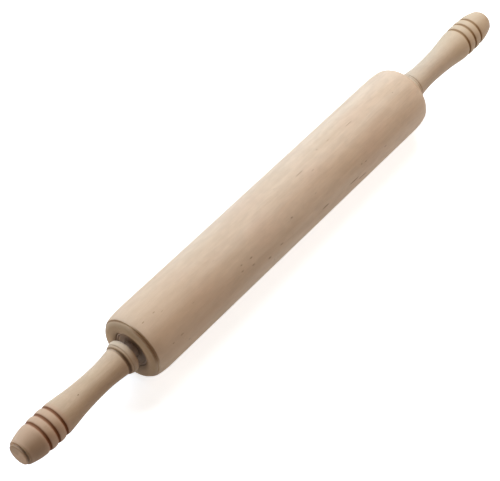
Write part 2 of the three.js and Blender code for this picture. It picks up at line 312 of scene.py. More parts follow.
# Marks that stand out: place along the roller, or out from its end on a handle, angle from the
# top towards the front of the pin, and length
ROLLER_SCRATCHES = [
    (0.029, 7, 0.0100),
    (0.061, -3, 0.0022),
    (0.076, -2, 0.0026),
    (0.104, 2, 0.0100),
]
ROLLER_FLECKS = [
    (-0.178, 11, 0.0028),
    (-0.165, 11, 0.0028),
    (-0.168, 67, 0.0024),
    (-0.157, 66, 0.0040),
    (-0.151, 85, 0.0024),
    (-0.077, 59, 0.0030),
    (-0.075, 50, 0.0022),
    (-0.064, 64, 0.0034),
    (-0.063, 52, 0.0036),
    (-0.028, 73, 0.0044),
    (-0.007, 50, 0.0028),
    (0.087, 67, 0.0020),
    (0.093, 69, 0.0022),
]
ROLLER_CRACKS = [
    (-0.045, 77, 0.0040),
    (0.033, 81, 0.0095),
    (0.074, 84, 0.0125),
    (0.086, 91, 0.0115),
]
LEFT_HANDLE_FLECKS = [(0.064, 17, 0.0018), (0.088, 18, 0.0022)]
RIGHT_HANDLE_FLECKS = [(0.036, 95, 0.0018)]
SCRATCH_HALF_WIDTH = 0.00021
FLECK_HALF_WIDTH = 0.0004
CRACK_HALF_WIDTH = 0.00062

# Camera: where it looks, from which way and how far off
CAMERA_TARGET = Vector((-0.02664, 0.00575, AXIS_HEIGHT - 0.01439))
CAMERA_AZIMUTH = math.radians(-50.896)
CAMERA_ELEVATION = math.radians(49.82)
CAMERA_DISTANCE = 1.5168
CAMERA_LENS = 125.1
CAMERA_SENSOR = 36

# Lamps: name, place, size, power and colour
LAMPS = [
    ("window_lamp", (0.0, 1.36, 1.32), 1.1, 21.6, (0.62, 0.79, 1.0)),
    ("key_lamp", (0.86, 0.60, 1.50), 1.1, 25.2, (1.0, 0.98, 0.95)),
    ("fill_lamp", (0.40, -0.68, 0.72), 0.8, 3.3, (1.0, 0.66, 0.42)),
    ("end_lamp", (-1.722, 0.516, 0.615), 1.1, 8.0, (1.0, 0.87, 0.70)),
]

# Surroundings
WHITE = (1, 1, 1, 1)
SKY_STRENGTH = 0.03
FLOOR_HALF = 6.0
FLOOR_COLOUR = (0.755, 0.81, 0.865, 1)
FLOOR_ROUGHNESS = 0.9
FLOOR_SPECULAR = 0.1
FLOOR_LIFT = 0.76
FLOOR_NEAR = 0.5
FLOOR_FAR = 1.2
FLOOR_GAP = 0.0001


class Nodes:
    """Adds nodes to a tree. An input may be given a value or another node's output."""

    def __init__(self, tree):
        self.tree = tree

    def add(self, kind, inputs=(), **settings):
        node = self.tree.nodes.new(kind)
        for name, value in settings.items():
            setattr(node, name, value)
        self.fill(node, dict(inputs))
        return node

    def fill(self, node, inputs):
        for key, value in inputs.items():
            self.feed(node.inputs[key], value)

    def feed(self, socket, value):
        if isinstance(value, bpy.types.NodeSocket):
            self.tree.links.new(value, socket)
        else:
            socket.default_value = value

    def maths(self, operation, first, second=0.0, clamp=False):
        inputs = {0: first, 1: second}
        return self.add("ShaderNodeMath", inputs, operation=operation, use_clamp=clamp).outputs[0]

    def times(self, first, second):
        return self.maths("MULTIPLY", first, second)

    def vector(self, operation, first, second=(0, 0, 0), output="Vector"):
        inputs = {0: first, 1: second}
        return self.add("ShaderNodeVectorMath", inputs, operation=operation).outputs[output]

    def split(self, vector):
        return self.add("ShaderNodeSeparateXYZ", {0: vector}).outputs

    def joined(self, x, y, z):
        return self.add("ShaderNodeCombineXYZ", {0: x, 1: y, 2: z}).outputs[0]

    def noise(self, place, scale, detail, roughness):
        """Smooth noise. Its scale is how often it repeats in a metre along each axis."""
        scaled = self.vector("MULTIPLY", place, scale)
        inputs = {"Vector": scaled, "Scale": 1.0, "Detail": detail, "Roughness": roughness}
        return self.add("ShaderNodeTexNoise", inputs).outputs["Fac"]

    def ramp(self, value, low, high, out_low=0.0, out_high=1.0):
        """Maps a value smoothly from one range to another, and holds it at the ends."""
        inputs = {"Value": value, "From Min": low, "From Max": high}
        inputs |= {"To Min": out_low, "To Max": out_high}
        node = self.add("ShaderNodeMapRange", inputs, interpolation_type="SMOOTHSTEP")
        return node.outputs["Result"]

    def blend(self, amount, first, second, kind="MIX"):
        node = self.add("ShaderNodeMix", data_type="RGBA", blend_type=kind)
        self.feed(node.inputs["Factor"], amount)
        colours = [socket for socket in node.inputs if socket.type == "RGBA"]
        self.feed(colours[0], first)
        self.feed(colours[1], second)
        return next(socket for socket in node.outputs if socket.type == "RGBA")

    def most(self, values):
        result = values[0]
        for value in values[1:]:
            result = self.maths("MAXIMUM", result, value)
        return result


def effect(name, inputs, outputs):
    """A new node group with named inputs and outputs. Returns it with its nodes and sockets."""
    group = bpy.data.node_groups.new(name, "ShaderNodeTree")
    for socket, kind, value in inputs:
        made = group.interface.new_socket(socket, in_out="INPUT", socket_type=kind)
        if value is not None:
            made.default_value = value
    for socket, kind in outputs:
        group.interface.new_socket(socket, in_out="OUTPUT", socket_type=kind)
    nodes = Nodes(group)
    given = nodes.add("NodeGroupInput").outputs
    result = nodes.add("NodeGroupOutput").inputs
    return group, nodes, given, result


FLOAT = "NodeSocketFloat"
COLOUR = "NodeSocketColor"
VECTOR = "NodeSocketVector"


def beech_figure_effect():
    """Pale and deeper streaks along X, and end grain where the board is cut across."""
    group, nodes, given, result = effect(
        "beech_figure",
        [
            ("Place", VECTOR, None), ("Pale", COLOUR, PALE_BEECH), ("Deep", COLOUR, DEEP_BEECH),
            ("Blush", COLOUR, BLUSH_BEECH), ("End Grain", FLOAT, 0.0),
            ("End Tint", COLOUR, ROLLER_END_TINT),
        ],
        [("Colour", COLOUR), ("Fibre", FLOAT)],
    )
    place = given["Place"]
    bands = nodes.noise(place, *BAND_NOISE)
    streaks = nodes.noise(place, *STREAK_NOISE)
    fibres = nodes.noise(place, *FIBRE_NOISE)
    patches = nodes.noise(place, *PATCH_NOISE)
    mottle = nodes.noise(place, *MOTTLE_NOISE)
    deep = nodes.ramp(bands, *DEEP_RAMP)
    deep = nodes.maths("ADD", deep, nodes.ramp(streaks, *STREAK_RAMP), clamp=True)
    colour = nodes.blend(deep, given["Pale"], given["Deep"])
    colour = nodes.blend(nodes.ramp(patches, *BLUSH_RAMP), colour, given["Blush"])
    shade = nodes.times(nodes.ramp(fibres, *FIBRE_RAMP), nodes.ramp(mottle, *MOTTLE_RAMP))
    grey = nodes.add("ShaderNodeCombineColor", {0: shade, 1: shade, 2: shade}).outputs[0]
    colour = nodes.blend(1.0, colour, grey, "MULTIPLY")
    colour = nodes.blend(given["End Grain"], colour, given["End Tint"], "MULTIPLY")
    pores = nodes.times(given["End Grain"], nodes.ramp(fibres, *PORE_RAMP))
    colour = nodes.blend(pores, colour, PORE_BROWN)
    nodes.feed(result["Colour"], colour)
    nodes.feed(result["Fibre"], fibres)
    return group


def ray_dashes_effect():
    """Sparse short dark dashes along the grain, each in a cell of its own."""
    group, nodes, given, result = effect(
        "ray_dashes",
        [("Place", VECTOR, None), ("Share", FLOAT, HANDLE_DASH_SHARE), ("Size", FLOAT, DASH_SIZE)],
        [("Mask", FLOAT)],
    )
    inputs = {"Vector": nodes.vector("MULTIPLY", given["Place"], DASH_SCALE), "Scale": 1.0}
    cells = nodes.add("ShaderNodeTexVoronoi", inputs).outputs
    chance, size_chance, strength_chance = nodes.add(
        "ShaderNodeSeparateColor", {0: cells["Color"]}
    ).outputs
    kept = nodes.maths("LESS_THAN", chance, given["Share"])
    size = nodes.times(given["Size"], nodes.ramp(size_chance, *DASH_SIZE_RAMP))
    near = nodes.maths("DIVIDE", cells["Distance"], size)
    mask = nodes.times(nodes.ramp(near, *DASH_EDGE_RAMP), kept)
    strength = nodes.ramp(strength_chance, *DASH_STRENGTH_RAMP)
    nodes.feed(result["Mask"], nodes.times(mask, strength))
    return group


def single_mark_effect():
    """One dark mark at a chosen place on a round piece, tapered along the grain."""
    group, nodes, given, result = effect(
        "single_mark",
        [
            ("Place", VECTOR, None), ("Middle", VECTOR, None), ("Half Length", FLOAT, 0.001),
            ("Half Width", FLOAT, FLECK_HALF_WIDTH),
        ],
        [("Mask", FLOAT)],
    )
    x, y, z = nodes.split(nodes.vector("SUBTRACT", given["Place"], given["Middle"]))
    along = nodes.maths("DIVIDE", x, given["Half Length"])
    radius = nodes.vector("LENGTH", nodes.joined(0.0, y, z), output="Value")
    across = nodes.maths("DIVIDE", radius, given["Half Width"])
    taper = nodes.maths("POWER", nodes.maths("ABSOLUTE", along), MARK_TAPER_POWER)
    off = nodes.maths("ADD", across, taper)
    nodes.feed(result["Mask"], nodes.ramp(off, *MARK_EDGE_RAMP))
    return group


def ring_band_effect():
    """A band round a turned piece with a soft, uneven edge, fainter away from its heavy side."""
    group, nodes, given, result = effect(
        "ring_band",
        [
            ("Place", VECTOR, None), ("Middle", FLOAT, 0.0), ("Half Width", FLOAT, 0.001),
            ("Fade", FLOAT, 0.0005), ("Waver", FLOAT, 0.0),
            ("Heavy Side", VECTOR, (0.0, 0.0, 1.0)), ("Faintest", FLOAT, 1.0),
            ("Side Start", FLOAT, 0.1), ("Within Radius", FLOAT, 1.0),
        ],
        [("Mask", FLOAT)],
    )
    along, side, height = nodes.split(given["Place"])
    spoke = nodes.joined(0.0, side, height)
    radius = nodes.vector("LENGTH", spoke, output="Value")
    share = nodes.maths("DIVIDE", radius, given["Within Radius"])
    outward = nodes.vector("NORMALIZE", spoke)
    lean = nodes.vector("DOT_PRODUCT", outward, given["Heavy Side"], output="Value")
    weight = nodes.ramp(lean, given["Side Start"], FULL_SIDE, given["Faintest"], 1.0)
    wander = nodes.maths("SUBTRACT", nodes.noise(given["Place"], *WAVER_NOISE), 0.5)
    along = nodes.maths("ADD", along, nodes.times(wander, given["Waver"]))
    off = nodes.maths("ABSOLUTE", nodes.maths("SUBTRACT", along, given["Middle"]))
    edge = nodes.maths("ADD", given["Half Width"], given["Fade"])
    mask = nodes.ramp(off, given["Half Width"], edge, 1.0, 0.0)
    weight = nodes.times(weight, nodes.ramp(share, *WITHIN_RAMP))
    nodes.feed(result["Mask"], nodes.times(mask, weight))
    return group


def turning_lines_effect():
    """Fine lines round a turned piece, left by the tool and the sanding."""
    group, nodes, given, result = effect(
        "turning_lines",
        [("Place", VECTOR, None), ("Lines per Metre", FLOAT, BEECH_LINES)],
        [("Height", FLOAT)],
    )
    scale = nodes.joined(given["Lines per Metre"], LINE_SCALE_ROUND, LINE_SCALE_ROUND)
    lines = nodes.noise(given["Place"], scale, LINE_DETAIL, LINE_NOISE_ROUGHNESS)
    nodes.feed(result["Height"], lines)
    return group


def steel_wear_effect():
    """Uneven polish, and brown tarnish of at least a given amount."""
    group, nodes, given, result = effect(
        "steel_wear",
        [
            ("Place", VECTOR, None), ("Smooth", FLOAT, 0.15), ("Rough", FLOAT, 0.35),
            ("Least Tarnish", FLOAT, 0.0),
        ],
        [("Roughness", FLOAT), ("Tarnish", FLOAT)],
    )
    smears = nodes.noise(given["Place"], *SMEAR_NOISE)
    spots = nodes.noise(given["Place"], *SPOT_NOISE)
    amount = nodes.ramp(smears, *SMEAR_RAMP)
    spread = nodes.maths("SUBTRACT", given["Rough"], given["Smooth"])
    rough = nodes.maths("ADD", given["Smooth"], nodes.times(amount, spread))
    stain = nodes.times(nodes.ramp(spots, *SPOT_RAMP), amount)
    nodes.feed(result["Roughness"], rough)
    nodes.feed(result["Tarnish"], nodes.ramp(stain, 0, 1, given["Least Tarnish"], 1.0))
    return group


EFFECTS = {
    "figure": beech_figure_effect(),
    "dashes": ray_dashes_effect(),
    "mark": single_mark_effect(),
    "band": ring_band_effect(),
    "lines": turning_lines_effect(),
    "wear": steel_wear_effect(),
}


def use_effect(nodes, name, inputs):
    """Puts one of the effects in a material and returns its outputs."""
    return nodes.add("ShaderNodeGroup", inputs, node_tree=EFFECTS[name]).outputs


def new_material(name):
    """An empty material with its shader, its output and the texture coordinates."""
    material = bpy.data.materials.new(name)
    material.use_nodes = True
    material.node_tree.nodes.clear()
    nodes = Nodes(material.node_tree)
    shader = nodes.add("ShaderNodeBsdfPrincipled")
    output = nodes.add("ShaderNodeOutputMaterial")
    nodes.feed(output.inputs["Surface"], shader.outputs[0])
    coordinates = nodes.add("ShaderNodeTexCoord").outputs
    return material, nodes, shader, coordinates


def tinted(colour, tint):
    """The colour with each channel multiplied by the tint's."""
    return (*(value * share for value, share in zip(colour, tint)), 1)


def band(
    middle, half_width, fade, colour, amount, heavy_degrees=0.0, faintest=1.0, side_start=0.1,
    within=1.0,
):
    """A ring round a piece, of stain, painted shade or painted highlight: the effect's inputs, and its
    colour and amount.

    It is strongest at heavy_degrees, an angle from the top towards the piece's own -Y, and fades
    to the share faintest on the side where the cosine of the angle between is side_start or less.
    It is left out beyond the radius within.
    """
    angle = math.radians(heavy_degrees)
    inputs = {
        "Middle": middle,
        "Half Width": half_width,
        "Fade": fade,
        "Waver": fade * BAND_WAVER,
        "Heavy Side": (0.0, -math.sin(angle), math.cos(angle)),
        "Faintest": faintest,
        "Side Start": side_start,
        "Within Radius": within,
    }
    return inputs, colour, amount


class HandleLook(NamedTuple):
    """How one handle has aged, its painted shade, and where its wood lies in the board.

    Front is 1 if its own -Y side is the pin's front, else -1.
    """

    front: int
    board: tuple
    flecks: list
    tint: tuple
    scorch: tuple
    burn: tuple
    faintest_burn: float
    warm: tuple
    warmth: float
    warm_fade: float
    # wear sets the dark tip rim and score line, and also the painted shade at the end, cove and collar
    # groove and the painted highlight on the bead
    wear: float
    # painted shade on the handle's front lower side
    front_shade: float


HANDLE_LOOKS = {
    "left": HandleLook(
        front=-1, board=(3.1, 0.4, 0.2), flecks=LEFT_HANDLE_FLECKS, tint=(0.90, 0.87, 0.81),
        scorch=NEAR_SCORCH, burn=NEAR_BURN, faintest_burn=0.68,
        warm=ROSE_BEECH, warmth=0.5, warm_fade=0.004, wear=1.0, front_shade=0.42,
    ),
    "right": HandleLook(
        front=1, board=(7.7, 1.3, 0.9), flecks=RIGHT_HANDLE_FLECKS, tint=(0.865, 0.89, 0.895),
        scorch=FAR_SCORCH, burn=FAR_BURN, faintest_burn=0.5,
        warm=GOLDEN_BEECH, warmth=0.4, warm_fade=0.05, wear=0.05, front_shade=0.1,
    ),
}


def beech_material(name, board, tint, end_tint, dash_share, bands, marks):
    """Sanded beech cut from its own place in the board, with stained rings and dark marks."""
    material, nodes, shader, coordinates = new_material(name)
    place = coordinates["Object"]
    in_board = nodes.vector("ADD", place, board)
    facing = nodes.maths("ABSOLUTE", nodes.split(coordinates["Normal"])[0])
    end_grain = nodes.ramp(facing, *END_GRAIN_RAMP)
    inputs = {"Place": in_board, "End Grain": end_grain, "End Tint": end_tint}
    for socket, wood in (("Pale", PALE_BEECH), ("Deep", DEEP_BEECH), ("Blush", BLUSH_BEECH)):
        inputs[socket] = tinted(wood, tint)
    figure = use_effect(nodes, "figure", inputs)
    inputs = {"Place": in_board, "Share": dash_share, "Size": DASH_SIZE}
    masks = [use_effect(nodes, "dashes", inputs)["Mask"]]
    for mark in marks:
        masks.append(use_effect(nodes, "mark", {"Place": place, **mark})["Mask"])
    strength = nodes.times(nodes.maths("SUBTRACT", 1.0, end_grain), MARK_STRENGTH)
    dark = nodes.times(nodes.most(masks), strength)
    colour = nodes.blend(dark, figure["Colour"], FLECK_BROWN)
    stains = []
    for inputs, stain_colour, amount in bands:
        mask = use_effect(nodes, "band", {"Place": place, **inputs})["Mask"]
        stain = nodes.times(mask, amount)
        colour = nodes.blend(stain, colour, stain_colour)
        stains.append(stain)
    inputs = {"Place": in_board, "Lines per Metre": BEECH_LINES}
    lines = nodes.times(use_effect(nodes, "lines", inputs)["Height"], LINE_RELIEF)
    relief = nodes.maths("ADD", nodes.times(figure["Fibre"], FIBRE_RELIEF), lines)
    relief = nodes.maths("SUBTRACT", relief, nodes.times(dark, MARK_RELIEF))
    inputs = {"Strength": BEECH_BUMP, "Distance": BEECH_BUMP_HEIGHT, "Height": relief}
    bump = nodes.add("ShaderNodeBump", inputs)
    rough = nodes.ramp(figure["Fibre"], *BEECH_ROUGHNESS_RAMP)
    char = nodes.times(nodes.most(stains), CHAR_ROUGHNESS)
    rough = nodes.maths("ADD", rough, char, clamp=True)
    nodes.fill(shader, {
        "Base Color": colour,
        "Roughness": rough,
        "Normal": bump.outputs[0],
        "Specular IOR Level": SPECULAR,
    })
    return material


def metal_material(name, colour, tarnish, least_tarnish, smooth, rough, lines_per_metre, greased):
    """Turned or pressed metal with fine lines round it, dulled by tarnish and perhaps by grease."""
    material, nodes, shader, coordinates = new_material(name)
    place = coordinates["Object"]
    inputs = {"Place": place, "Smooth": smooth, "Rough": rough, "Least Tarnish": least_tarnish}
    wear = use_effect(nodes, "wear", inputs)
    inputs = {"Place": place, "Lines per Metre": lines_per_metre}
    lines = use_effect(nodes, "lines", inputs)["Height"]
    inputs = {"Strength": METAL_BUMP, "Distance": METAL_BUMP_HEIGHT, "Height": lines}
    bump = nodes.add("ShaderNodeBump", inputs)
    dullest = GREASED_METALLIC if greased else TARNISHED_METALLIC
    nodes.fill(shader, {
        "Base Color": nodes.blend(wear["Tarnish"], colour, tarnish),
        "Roughness": wear["Roughness"],
        "Normal": bump.outputs[0],
        "Metallic": nodes.ramp(wear["Tarnish"], 0, 1, 1.0, dullest),
        "Specular IOR Level": GREASED_SPECULAR if greased else SPECULAR,
    })
    return material


def arc(centre_along, centre_radius, half_along, half_radius, sweep, steps):
    """Points of an elliptical arc, over a sweep from one angle to another in degrees."""
    start, end = sweep
    points = []
    for i in range(steps + 1):
        angle = math.radians(start + (end - start) * i / steps)
        along = centre_along + half_along * math.cos(angle)
        points.append((along, centre_radius + half_radius * math.sin(angle)))
    return points


def stepped(start, end, longest):
    """Points strictly between two others, no further apart than the longest step."""
    count = max(1, math.ceil(math.dist(start, end) / longest))
    along = end[0] - start[0]
    radius = end[1] - start[1]
    return [(start[0] + along * i / count, start[1] + radius * i / count) for i in range(1, count)]


def evened(outline):
    """The closed outline with its long straight stretches divided."""
    points = []
    for start, end in zip(outline, outline[1:] + outline[:1]):
        points.append(start)
        if start[1] > 0 or end[1] > 0:
            points += stepped(start, end, LONG_STEP)
    return points


def finish_mesh(name, mesh, material):
    """Turns a bmesh into an object with outward faces, smooth except at sharp edges."""
    bmesh.ops.recalc_face_normals(mesh, faces=mesh.faces)
    for face in mesh.faces:
        face.smooth = True
    for edge in mesh.edges:
        edge.smooth = edge.calc_face_angle(0.0) < SHARP_ANGLE
    data = bpy.data.meshes.new(name)
    mesh.to_mesh(data)
    mesh.free()
    data.materials.append(material)
    piece = bpy.data.objects.new(name, data)
    bpy.context.scene.collection.objects.link(piece)
    return piece


def turned(name, outline, material, sides=METAL_SIDES):
    """Revolves a closed outline of (along, radius) points about X."""
    mesh = bmesh.new()
    rings = []
    for along, radius in evened(outline):
        if radius > 0:
            angles = [2 * math.pi * i / sides for i in range(sides)]
            ring = [mesh.verts.new((along, radius * math.sin(a), radius * math.cos(a))) for a in angles]
        else:
            ring = [mesh.verts.new((along, 0, 0))] * sides
        rings.append(ring)
    for ring, following in zip(rings, rings[1:] + rings[:1]):
        for i in range(sides):
            j = (i + 1) % sides
            corners = list(dict.fromkeys((ring[i], ring[j], following[j], following[i])))
            if len(corners) > 2:
                mesh.faces.new(corners)
    return finish_mesh(name, mesh, material)


def settle(piece, body, node, side=None):
    """Puts a piece on the axis, at its end of the roller if it has one, in place of its node."""
    outward = {"left": -1, "right": 1, None: 0}[side]
    piece.location = (outward * ROLLER_HALF, 0, AXIS_HEIGHT)
    piece.rotation_euler = (0, 0, math.pi if side == "left" else 0)
    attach(piece, body)
    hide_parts(node)
    return piece


def roller_end_outline(outward):
    """The outline of one end, from the barrel in to the bore: shoulder, quirk, cap and recess."""
    face = outward * ROLLER_HALF
    crease = face - outward * CAP_DEPTH
    shoulder_middle = crease - outward * (QUIRK_WIDTH / 2 + SHOULDER_LENGTH)
    shoulder_end_radius = ROLLER_RADIUS - SHOULDER_DROP
    cap_start = math.radians(CAP_SWEEP[0])
    cap_height = (shoulder_end_radius - CAP_STEP - CAP_CREST_RADIUS) / math.sin(cap_start)
    cap_reach = (CAP_DEPTH - QUIRK_WIDTH / 2) / (1 - math.cos(cap_start))
    cap_middle = face - outward * cap_reach
    quirk_round = QUIRK_WIDTH / 4
    quirk_middle_radius = shoulder_end_radius - CAP_STEP - QUIRK_DEPTH + quirk_round
    throat = outward * CUP_MOUTH_INSET
    recess_floor = face - outward * (CUP_BACK_INSET + SEAT_GAP)
    return [
        *arc(
            shoulder_middle, shoulder_end_radius, outward * SHOULDER_LENGTH, SHOULDER_DROP,
            SHOULDER_SWEEP, steps=40,
        ),
        (crease - outward * QUIRK_WIDTH / 2, shoulder_end_radius - SHOULDER_LIP),
        *arc(crease, quirk_middle_radius, outward * quirk_round, quirk_round, QUIRK_SWEEP, steps=6),
        *arc(cap_middle, CAP_CREST_RADIUS, outward * cap_reach, cap_height, CAP_SWEEP, steps=28),
        *arc(face - throat, CAP_CREST_RADIUS, throat, CAP_THROAT_WIDTH, (0, -90), steps=30),
        (recess_floor, RECESS_RADIUS),
        (recess_floor, ROLLER_BORE),
    ]


def make_roller(material):
    """The barrel, with both ends and the bore between them."""
    outline = roller_end_outline(1) + roller_end_outline(-1)[::-1]
    return turned("roller_wood", outline, material, ROLLER_SIDES)


def grip_plain_radius(along):
    """The grip's radius before the burned grooves, as a smooth curve through its stations."""
    stations = [GRIP_START + (GRIP_END - GRIP_START) * share for share in GRIP_STATION_SHARE]
    radii = [NECK_RADIUS + (GRIP_RADIUS - NECK_RADIUS) * share for share in GRIP_SWELL_SHARE]
    slopes = []
    for i in range(len(stations)):
        before = max(i - 1, 0)
        after = min(i + 1, len(stations) - 1)
        slopes.append((radii[after] - radii[before]) / (stations[after] - stations[before]))
    i = 0
    while i < len(stations) - 2 and along > stations[i + 1]:
        i += 1
    gap = stations[i + 1] - stations[i]
    t = (along - stations[i]) / gap
    rise = radii[i + 1] - radii[i]
    bend = (slopes[i] * gap - rise) * (1 - t) - (slopes[i + 1] * gap - rise) * t
    return radii[i] + rise * t + t * (1 - t) * bend


def groove_cut(along):
    """How deep the burned grooves cut at a place, with the lands between them slightly rounded."""
    cut = 0.0
    half = BURN_WIDTH / 2
    for middle in BURN_PLACES:
        off = abs(along - middle)
        if off < half:
            cut = max(cut, LAND_ROUNDING + (BURN_DEPTH - LAND_ROUNDING) * (1 - (off / half) ** 2))
        else:
            cut = max(cut, LAND_ROUNDING * math.exp(-(off - half) / LAND_FADE))
    return cut


def grip_outline():
    """The grip from the collar to the tip, in finer steps near the burned grooves."""
    places = []
    along = GRIP_START
    while along < GRIP_END:
        places.append(along)
        near = min(abs(along - middle) for middle in BURN_PLACES)
        along += GROOVE_STEP if near < BURN_WIDTH else GRIP_STEP
    places.append(GRIP_END)
    return [(place, grip_plain_radius(place) - groove_cut(place)) for place in places]


def make_handle(side, material):
    """A handle: bead, collar ring, groove, grip and tip, with a stepped bore for insert and rod."""
    score = HANDLE_FACE + BEAD_LENGTH
    bead_half = BEAD_LENGTH / 2
    bead_middle = HANDLE_FACE + bead_half
    bead_back_height = BEAD_RADIUS - BEAD_BACK_CENTRE_RADIUS
    ring_height = BEAD_RING_RADIUS - COLLAR_GROOVE_RADIUS
    cove_half = TIP_COVE_WIDTH / 2
    flange_bore = INSERT_FLANGE_RADIUS + SEAT_GAP
    flange_bore_end = HANDLE_FACE + INSERT_FLANGE + SEAT_GAP
    insert_bore = INSERT_RADIUS + SEAT_GAP
    insert_bore_end = INSERT_END + SEAT_GAP
    rod_bore_end = ROD_REACH + SEAT_GAP
    outline = [
        (HANDLE_FACE, flange_bore),
        *arc(
            bead_middle, BEAD_FACE_RADIUS, bead_half, BEAD_RADIUS - BEAD_FACE_RADIUS,
            (180, 90), steps=20,
        ),
        *arc(
            bead_middle, BEAD_BACK_CENTRE_RADIUS, BEAD_BACK_HALF, bead_back_height,
            BEAD_BACK_SWEEP, steps=12,
        ),
        (score, BEAD_RING_RADIUS - BEAD_SCORE),
        *arc(
            score, COLLAR_GROOVE_RADIUS, BEAD_RING_LENGTH, ring_height, BEAD_RING_SWEEP, steps=14
        ),
        (COLLAR_GROOVE_START + COLLAR_GROOVE_WIDTH / 2, COLLAR_GROOVE_RADIUS),
        *grip_outline(),
        *arc(
            GRIP_END + cove_half, TIP_RADIUS, cove_half, TIP_COVE_DEPTH, TIP_COVE_SWEEP, steps=10
        ),
        *arc(
            HANDLE_REACH - TIP_ROUND_LENGTH, TIP_RADIUS - TIP_ROUND_WIDTH,
            TIP_ROUND_LENGTH, TIP_ROUND_WIDTH, (90, 0), steps=12,
        ),
        (HANDLE_REACH, 0),
        (rod_bore_end, 0),
        (rod_bore_end, BORE_ON_ROD),
        (insert_bore_end, BORE_ON_ROD),
        (insert_bore_end, insert_bore),
        (flange_bore_end, insert_bore),
        (flange_bore_end, flange_bore),
    ]
    return turned(f"handle_{side}_wood", outline, material, HANDLE_SIDES)


def make_cup(side, material):
    """The pressed outer race: a floor with a hole, a ball track and a wall with a rounded rim."""
    rim = CUP_RIM_ROUNDING
    rim_middle = -CUP_MOUTH_INSET - rim
    outline = [
        *arc(rim_middle, CUP_RADIUS - rim, rim, rim, (0, 90), steps=6),
        (-CUP_BACK_INSET, CUP_RADIUS),
        (-CUP_BACK_INSET, CUP_FLOOR_HOLE),
        (CUP_FLOOR - CUP_BACK_INSET, CUP_FLOOR_HOLE),
        *arc(
            -BALL_ROW_INSET, BALL_PITCH_RADIUS, POCKET_RADIUS, POCKET_RADIUS, (180, 90), steps=16
        ),
        *arc(rim_middle, CUP_BORE + rim, rim, rim, (-90, 0), steps=6),
    ]
    return turned(f"bearing_cup_{side}_steel", outline, material)


def make_cone(side, material):
    """The inner race on the rod, with a ball track, a lip and a nose that stands out."""
    lip_angle = math.degrees(math.asin((CONE_LIP_RADIUS - BALL_PITCH_RADIUS) / POCKET_RADIUS))
    edge = METAL_EDGE
    outline = [
        (-CONE_HEEL_INSET, BORE_ON_ROD),
        (-CONE_HEEL_INSET, CONE_HEEL_RADIUS),
        *arc(
            -BALL_ROW_INSET, BALL_PITCH_RADIUS, POCKET_RADIUS, POCKET_RADIUS,
            (CONE_RACE_START, lip_angle), steps=18,
        ),
        (-CONE_LIP_INSET, CONE_LIP_RADIUS),
        (-CONE_LIP_INSET, CONE_NOSE_RADIUS),
        *arc(CONE_NOSE_PROUD - edge, CONE_NOSE_RADIUS - edge, edge, edge, (90, 0), steps=5),
        (CONE_NOSE_PROUD, BORE_ON_ROD),
    ]
    return turned(f"bearing_cone_{side}_steel", outline, material)


def make_shield(side, material):
    """A thin disc with one shallow groove pressed round its outer face."""
    inner = CONE_NOSE_RADIUS + SEAT_GAP
    outer = CUP_BORE - RUNNING_GAP
    middle = (inner + outer) / 2
    width = (outer - inner) / 3
    back = -SHIELD_INSET
    front = back + SHIELD_THICKNESS
    groove = []
    for i in range(SHIELD_GROOVE_STEPS + 1):
        radius = middle + width * (2 * i / SHIELD_GROOVE_STEPS - 1)
        depth = SHIELD_GROOVE_DEPTH * (1 + math.cos(math.pi * (radius - middle) / width)) / 2
        groove.append((front - depth, radius))
    outline = [(front, inner), *groove, (front, outer), (back, outer), (back, inner)]
    return turned(f"dust_shield_{side}_steel", outline, material)


def make_washer(side, material):
    """A flat washer with rounded outer edges."""
    edge = METAL_EDGE
    outline = [
        (WASHER_START, BORE_ON_ROD),
        *arc(WASHER_START + edge, WASHER_RADIUS - edge, edge, edge, (180, 90), steps=4),
        *arc(WASHER_END - edge, WASHER_RADIUS - edge, edge, edge, (90, 0), steps=4),
        (WASHER_END, BORE_ON_ROD),
    ]
    return turned(f"thrust_washer_{side}_steel", outline, material)


def make_insert(side, material):
    """A flanged sleeve with barbs that grip the wood."""
    flange_end = HANDLE_FACE + INSERT_FLANGE
    pitch = (INSERT_END - flange_end) / INSERT_BARBS
    barbs = []
    for i in range(INSERT_BARBS):
        barbs.append((flange_end + pitch * i, INSERT_RADIUS - INSERT_BARB))
        barbs.append((flange_end + pitch * (i + 1), INSERT_RADIUS))
    outline = [
        (HANDLE_FACE, BORE_ON_ROD),
        (HANDLE_FACE, INSERT_FLANGE_RADIUS),
        (flange_end, INSERT_FLANGE_RADIUS),
        *barbs,
        (INSERT_END, BORE_ON_ROD),
    ]
    return turned(f"handle_insert_{side}_brass", outline, material)


def make_rod(material):
    """The through rod, with chamfered ends and a groove for each retaining ring."""
    end = ROLLER_HALF + ROD_REACH
    groove_outer = ROLLER_HALF - RING_INSET + SEAT_GAP
    groove_inner = ROLLER_HALF - RING_INSET - RING_THICKNESS - SEAT_GAP
    groove_radius = RING_INNER_RADIUS - SEAT_GAP
    half = [
        (end, 0),
        (end, ROD_RADIUS - ROD_CHAMFER),
        (end - ROD_CHAMFER, ROD_RADIUS),
        (groove_outer, ROD_RADIUS),
        (groove_outer, groove_radius),
        (groove_inner, groove_radius),
        (groove_inner, ROD_RADIUS),
    ]
    other_half = [(-along, radius) for along, radius in reversed(half)]
    return turned("axle_rod_steel", half + other_half, material)


def ball_places():
    """Where the balls sit, evenly spaced round the rod, with one at the top."""
    places = []
    for i in range(BALLS):
        angle = 2 * math.pi * i / BALLS
        side = BALL_PITCH_RADIUS * math.sin(angle)
        places.append(Vector((-BALL_ROW_INSET, side, BALL_PITCH_RADIUS * math.cos(angle))))
    return places


